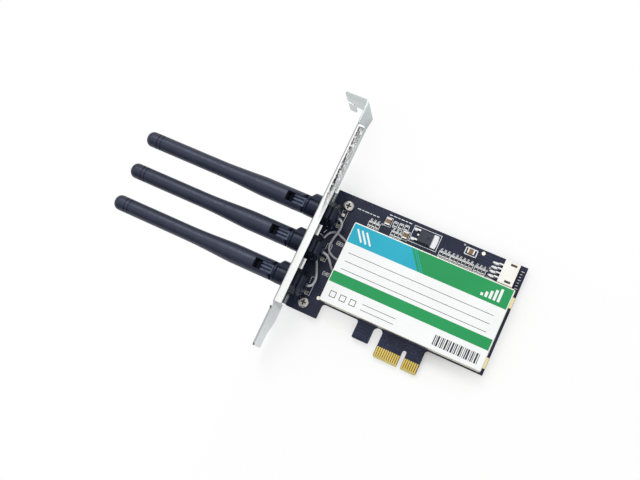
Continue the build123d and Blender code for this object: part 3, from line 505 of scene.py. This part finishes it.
def ink_bar():
    """A bar of ink of unit size, standing on its underside, with a sloping rim."""
    bpy.ops.object.select_all(action="DESELECT")
    bpy.ops.mesh.primitive_cube_add(size=1.0, location=(0, 0, 0))
    bar = bpy.context.object
    bpy.ops.object.mode_set(mode="EDIT")
    bpy.ops.mesh.select_all(action="SELECT")
    bpy.ops.transform.translate(value=(0, 0, 0.5))
    bpy.ops.mesh.select_mode(type="FACE")
    select_faces(bar, lambda face: face.normal.z > 0.9)
    bpy.ops.transform.resize(value=(0.97, 0.8, 1.0))
    bpy.ops.object.mode_set(mode="OBJECT")
    return bar


def ink_ring():
    """A ring of ink of unit radius and unit height."""
    bpy.ops.object.select_all(action="DESELECT")
    bpy.ops.mesh.primitive_circle_add(vertices=20, radius=1.0, fill_type="NGON")
    ring = bpy.context.object
    bpy.ops.object.mode_set(mode="EDIT")
    bpy.ops.mesh.select_mode(type="FACE")
    bpy.ops.mesh.select_all(action="SELECT")
    bpy.ops.mesh.inset(thickness=0.35)
    bpy.ops.mesh.delete(type="FACE")
    bpy.ops.mesh.select_all(action="SELECT")
    bpy.ops.mesh.extrude_region_move(TRANSFORM_OT_translate={"value": (0, 0, 1.0)})
    bpy.ops.mesh.select_all(action="SELECT")
    bpy.ops.mesh.normals_make_consistent(inside=False)
    bpy.ops.object.mode_set(mode="OBJECT")
    return ring


def solder_mound():
    """A low mound of solder of unit half-length, flat below."""
    bpy.ops.object.select_all(action="DESELECT")
    bpy.ops.mesh.primitive_uv_sphere_add(segments=14, ring_count=8, radius=1.0)
    mound = bpy.context.object
    bpy.ops.object.mode_set(mode="EDIT")
    bpy.ops.mesh.select_all(action="SELECT")
    bpy.ops.mesh.bisect(plane_co=(0, 0, 0), plane_no=(0, 0, 1), use_fill=True, clear_inner=True)
    bpy.ops.object.mode_set(mode="OBJECT")
    bpy.ops.object.shade_smooth_by_angle(angle=math.radians(50))
    return mound


def stamp(master, name, places, finish):
    """Copies a master to each place, a matrix, and joins the copies into one piece."""
    copies = []
    for place in places:
        mesh = master.data.copy()
        mesh.transform(place)
        copy = bpy.data.objects.new(name, mesh)
        bpy.context.scene.collection.objects.link(copy)
        copies.append(copy)
    bpy.data.objects.remove(master)
    bpy.ops.object.select_all(action="DESELECT")
    for copy in copies:
        copy.select_set(True)
    bpy.context.view_layer.objects.active = copies[0]
    bpy.ops.object.join()
    piece = bpy.context.object
    piece.name = name
    dress(piece, finish)
    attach(piece, "card")


def flat(x, y, z, length, width, height, turn=0.0):
    """Where a unit bar goes, with all sizes in millimetres and the turn in degrees."""
    spin = Matrix.Rotation(math.radians(turn), 4, "Z")
    size = Matrix.Diagonal((length * MM, width * MM, height * MM, 1.0))
    return Matrix.Translation((x * MM, y * MM, z * MM)) @ spin @ size


INK = 0.02
THIN_INK = 0.012
STROKE = 0.24
BOX_STROKE = 0.28


def line(x1, y1, x2, y2, stroke=STROKE, z=0.0):
    length = math.hypot(x2 - x1, y2 - y1) + stroke
    turn = math.degrees(math.atan2(y2 - y1, x2 - x1))
    return flat((x1 + x2) / 2, (y1 + y2) / 2, z, length, stroke, INK, turn)


def outline(left, bottom, right, top, stroke=STROKE, z=0.0):
    corners = ((left, bottom), (right, bottom), (right, top), (left, top), (left, bottom))
    return [line(*first, *second, stroke, z) for first, second in zip(corners, corners[1:])]


def on_strip(along, across):
    """A place on the strip above the cover, in millimetres, by shares of its length and width."""
    x = cover_low.x + along * (header_low.x - cover_low.x)
    y = cover_high.y + across * (pcb_high.y - cover_high.y)
    return x / MM, y / MM


CHIP_PITCH = 1.75
CHIP_REACH = 1.4
chip_rows = (
    ((0.083, 0.245), 3), ((0.249, 0.23), 3), ((0.594, 0.23), 3), ((0.677, 0.232), 6),
    ((0.8445, 0.222), 3),
)
single_chips = ((0.24, 0.575), (0.28, 0.585), (0.319, 0.615))
capacitors = ((0.191, 0.58), (0.333, 0.35))
flat_capacitor = (0.772, 0.735)
strokes = []
for shares, count in chip_rows:
    x, y = on_strip(*shares)
    left, right = x - CHIP_PITCH / 2, x + (count - 0.5) * CHIP_PITCH
    strokes += outline(left, y - CHIP_REACH, right, y + CHIP_REACH, BOX_STROKE)
    for n in range(1, count):
        wall = left + n * CHIP_PITCH
        strokes.append(line(wall, y - CHIP_REACH, wall, y + CHIP_REACH, BOX_STROKE))
    for n in range(count):
        at = x + n * CHIP_PITCH
        strokes.append(line(at - 0.5, y + 1.95, at + 0.1 + 0.2 * (n % 2), y + 1.95, 0.3))
        strokes.append(line(at - 0.4, y + 2.5, at + 0.3, y + 2.5, 0.22))
for shares in single_chips:
    x, y = on_strip(*shares)
    strokes += outline(x - 0.95, y - 1.45, x + 0.95, y + 1.45, BOX_STROKE)
for shares in capacitors:
    x, y = on_strip(*shares)
    strokes += outline(x - 1.5, y - 2.1, x + 1.5, y + 2.1)
x, y = on_strip(*flat_capacitor)
strokes += outline(x - 2.6, y - 1.6, x + 2.6, y + 1.6, 0.45)
strokes += outline(-18.8, regulator_low.y / MM - 0.9, -5.8, regulator_high.y / MM + 0.8)
pin_x, pin_y = pins_low.x / MM, pins_low.y / MM
strokes.append(line(pin_x - 0.6, pin_y - 0.9, header_high.x / MM, pin_y - 2.1))
for number in (1, 2, 3):
    low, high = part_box(f"antenna_nut_{number}")
    row = (low.y + high.y) / 2 / MM
    strokes += outline(-51.7, row - 2.9, -49.4, row + 5.6, 0.18)
    strokes.append(line(-58.7, row - 4.4, -52.9, row - 4.1, 0.18))
for x, y in ((-46.5, 40.0), (-46.5, 24.9)):
    for side in (-0.85, 0.85):
        strokes += outline(x + side - 0.65, y - 0.75, x + side + 0.65, y + 0.75, 0.2)
        strokes.append(line(x + side - 0.2, y, x + side + 0.2, y, 0.3))
strokes += [line(-57.0, 41.0, -55.0, 40.2), line(-55.6, 42.0, -55.0, 43.4, 0.3)]
dash_rows = (
    (-45.8, 58.4, (1.3, 0.7, 1.6, 0.6, 1.1, 0.8)),
    (-31.2, 61.5, (1.0, 1.5, 0.6, 1.3, 0.8, 1.2)),
)
for start, height, lengths in dash_rows:
    for length in lengths:
        strokes.append(line(start, height, start + length, height, 0.36))
        start += length + 0.85
for n in range(10):
    y = 48.6 + 1.35 * n
    strokes.append(line(32.1, y, 32.8 + 0.4 * (n % 3 == 0), y, 0.26))
stamp(ink_bar(), "silkscreen", strokes, ink)
mark_radius = 0.42
mark_shares = ((0.716, 0.905), (0.159, 0.407), (0.925, 0.47), (0.915, 0.33))
spots = [flat(*on_strip(*shares), 0.0, mark_radius, mark_radius, INK) for shares in mark_shares]
stamp(ink_ring(), "pin_one_marks", spots, ink)

# Tented via rings on both faces, between the contacts and the cover and along the strip
faces = (0.0, pcb_low.z / MM - THIN_INK)
rings = []


def via(x, y, radius, levels):
    rings.extend(flat(x, y, z, radius, radius, THIN_INK) for z in levels)


for n in range(12):
    x = -10.9 + 1.55 * n
    y = 8.3 + 1.1 * math.sin(2.1 * n)
    if abs(x) > 1.7:
        via(x, y, 0.3, faces)
    via(x + 0.5, 10.4 + 0.4 * math.sin(3.3 * n), 0.26, faces)
for n in range(13):
    via(-46.0 + 5.6 * n, 62.0 + 0.4 * math.sin(1.7 * n), 0.27, faces)
# The rest is spread over the back by two uneven steps.
for n in range(44):
    via(-40.0 + 70.0 * ((n * 0.618) % 1.0), 15.0 + 44.0 * ((n * 0.387) % 1.0), 0.28, faces[1:])
via_ring = moulding("tented_via", (52, 54, 74), (68, 70, 90), 0.4, 0.05)
stamp(ink_ring(), "via_rings", rings, via_ring)

# Solder where leads and feet meet the board
PIN_PITCH = 2.0
pin_middle = (pins_low.y + pins_high.y) / 2 / MM
pin_rows = [pin_middle + (n - 1.5) * PIN_PITCH for n in range(4)]
mounds = [flat(pin_x + 1.4, row, 0.0, 2.05, 0.74, 0.5) for row in pin_rows]
lead_low, lead_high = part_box("regulator_leads")
lead_middle = (regulator_low.y + regulator_high.y) / 2 / MM
lead_x = lead_low.x / MM + 0.7
mounds += [flat(lead_x, lead_middle + side, 0.0, 1.25, 0.85, 0.36) for side in (-2.28, 2.28)]
mounds.append(flat(lead_high.x / MM, lead_middle, 0.0, 0.7, 3.2, 0.36))
stamp(solder_mound(), "solder_mounds", mounds, finishes["tinned_lead"])

# Label marks: a bar block, ruled lines, tick boxes, rising bars and slanted bars
label_z = label_high.z / MM
marks = []
bar_widths = (
    0.5, 0.3, 0.8, 0.3, 0.55, 0.3, 0.8, 0.3, 0.55, 0.8, 0.3, 0.55, 0.3, 0.8, 0.3, 0.3, 0.55, 0.8,
    0.3, 0.55, 0.3, 0.8, 0.3,
)
bar_gaps = (0.4, 0.3, 0.55)
bar_x = 9.6
for n, width in enumerate(bar_widths):
    marks.append(flat(bar_x + width / 2, 17.2, label_z, width, 4.7, THIN_INK))
    bar_x += width + bar_gaps[n % 3]
foot, head, half_box = 15.9, 18.5, 1.3
for x in (-38.6, -33.8, -29.0):
    marks += outline(x - half_box, foot, x + half_box, head, 0.3, label_z)
marks += [line(-40.0, y, 28.5, y, STROKE, label_z) for y in (37.0, 33.0, 29.2)]
marks += [line(-24.6, y, -9.0, y, STROKE, label_z) for y in (foot, head)]
stamp(ink_bar(), "label_bars", marks, dark_ink)
levels = []
for n in range(5):
    tall = 1.2 * (n + 1)
    levels.append(flat(20.4 + 1.9 * n, 43.1 + tall / 2, label_z, 1.2, tall, INK))
levels += [flat(-38.8 + 2.2 * n, 46.0, label_z, 6.4, 0.8, INK, 126.3) for n in range(3)]
stamp(ink_bar(), "label_levels", levels, ink)

# Camera
camera_data = bpy.data.cameras.new("studio_camera")
camera_data.lens = 50.0
camera_data.sensor_width = 36.0
camera_data.clip_start = 0.01
camera_data.clip_end = 20.0
camera = bpy.data.objects.new("studio_camera", camera_data)
bpy.context.scene.collection.objects.link(camera)
right = Vector((0.89453, 0.42417, -0.14104))
down = Vector((0.38846, -0.89378, -0.22419))
look = Vector((-0.22115, 0.14576, -0.96429))
turn = Matrix((right, -down, -look)).transposed().to_4x4()
camera.matrix_world = Matrix.Translation(Vector((33.795, -20.94, 390.275)) * MM) @ turn
bpy.context.scene.camera = camera

# Floor, world and lamps
bpy.ops.object.select_all(action="DESELECT")
paper_size = 6.0
bpy.ops.mesh.primitive_plane_add(size=paper_size, location=(0, 0, 0))
floor = bpy.context.object
floor.name = "studio_floor"
# The paper ends behind the bracket, so that a mast can point down past it.
paper_end = -64.5 * MM
floor.data.transform(Matrix.Translation((paper_size / 2 + paper_end, 0, 0)))
floor_up = Vector((-0.0243, 0.0285, 0.9993)).normalized()
tilt = Vector((0, 0, 1)).rotation_difference(floor_up).to_matrix().to_4x4()
floor_drop = 2.2 * MM
floor.matrix_world = Matrix.Translation(floor_up * -floor_drop) @ tilt
paper = Finish("studio_paper", roughness=0.9)
paper.shader.inputs["Specular IOR Level"].default_value = 0.0
paper.colour(paper.ramp(paper.noise(3.0), linear(251, 251, 251), linear(254, 254, 254)))
path = paper.node("ShaderNodeLightPath").outputs
mirrored = paper.math("MAXIMUM", path["Is Glossy Ray"], path["Is Transmission Ray"])
floor_x, floor_y, _ = paper.axes()
# The camera sees the paper glow, more so beyond the bracket and above the board.
outside = paper.between(floor_x, 0.92, 0.56, -75.0 * MM, -50.0 * MM)
above = paper.between(floor_y, 0.56, 0.9, 58.0 * MM, 80.0 * MM)
glow = paper.math("MAXIMUM", outside, above)
# Beside the contacts the paper glows less, so that the shadow there stays deep.
nook_left = paper.between(floor_x, 0.0, 1.0, 2.0 * MM, 10.0 * MM)
nook_right = paper.between(floor_x, 1.0, 0.0, 14.0 * MM, 36.0 * MM)
nook_foot = paper.between(floor_y, 0.0, 1.0, -2.0 * MM, 8.0 * MM)
nook_head = paper.between(floor_y, 1.0, 0.0, 20.0 * MM, 40.0 * MM)
nook = paper.all_of(nook_left, nook_right, nook_foot, nook_head)
glow = paper.math("MULTIPLY_ADD", nook, -0.5, glow)
glow = paper.math("MAXIMUM", glow, 0.06)
direct = paper.math("MULTIPLY", path["Is Camera Ray"], glow)
seen = paper.math("MULTIPLY_ADD", mirrored, 0.25, direct)
bright = paper.node("ShaderNodeEmission", {"Strength": 1.0}).outputs["Emission"]
lifted = paper.node("ShaderNodeMixShader", {"Fac": seen})
paper.tree.links.new(paper.shader.outputs["BSDF"], lifted.inputs[1])
paper.tree.links.new(bright, lifted.inputs[2])
# Seen from below, the floor gives way to the object.
below = paper.node("ShaderNodeNewGeometry").outputs["Backfacing"]
clear = paper.node("ShaderNodeBsdfTransparent").outputs["BSDF"]
hidden = paper.math("MULTIPLY", below, path["Is Camera Ray"])
shown = paper.node("ShaderNodeMixShader", {"Fac": hidden})
paper.tree.links.new(lifted.outputs["Shader"], shown.inputs[1])
paper.tree.links.new(clear, shown.inputs[2])
surface = paper.tree.nodes["Material Output"].inputs["Surface"]
paper.tree.links.new(shown.outputs["Shader"], surface)
dress(floor, paper)

world = bpy.data.worlds.new("studio_world")
bpy.context.scene.world = world
world.use_nodes = True
sky = Graph(world.node_tree)
_, aside, rise = sky.axes(sky.node("ShaderNodeTexCoord").outputs["Generated"])
from_above = sky.between(rise, 0.44, 0.94, -0.1, 0.9)
from_below = sky.between(rise, 0.4, 0.0, -0.4, -0.1)
lighting = sky.math("ADD", from_above, from_below)
overhead = sky.between(rise, 0.5, 1.0, 0.0, 0.85)
mirrored = sky.math("MULTIPLY", overhead, sky.between(aside, 0.2, 1.0, -0.75, -0.3))
# Below the horizon, metal mirrors a pale ground where the paper ends.
ground = sky.between(rise, 1.0, 0.0, -0.12, -0.02)
mirrored = sky.level(ground, mirrored, 0.84)
path = sky.node("ShaderNodeLightPath").outputs
by_mirror = sky.math("MAXIMUM", path["Is Glossy Ray"], path["Is Transmission Ray"])
by_gloss = sky.level(by_mirror, lighting, mirrored)
background = sky.tree.nodes["Background"]
background.inputs["Color"].default_value = (1.0, 1.0, 1.0, 1.0)
sky.feed(background.inputs["Strength"], sky.level(path["Is Camera Ray"], by_gloss, 1.0))


def softbox(name, place, aim, size, power):
    data = bpy.data.lights.new(name, "AREA")
    data.shape = "RECTANGLE"
    data.size, data.size_y = size
    data.energy = power
    lamp = bpy.data.objects.new(name, data)
    bpy.context.scene.collection.objects.link(lamp)
    lamp.location = place
    lamp.rotation_mode = "QUATERNION"
    lamp.rotation_quaternion = (Vector(aim) - Vector(place)).to_track_quat("-Z", "Y")


middle = (-0.05, 0.04, 0.0)
softbox("softbox_over", (-0.42, 0.7, 0.95), middle, (0.5, 0.5), 3.0)
softbox("softbox_side", (0.7, -0.6, 0.7), middle, (0.6, 0.6), 1.2)

bpy.context.scene.view_settings.view_transform = "Standard"
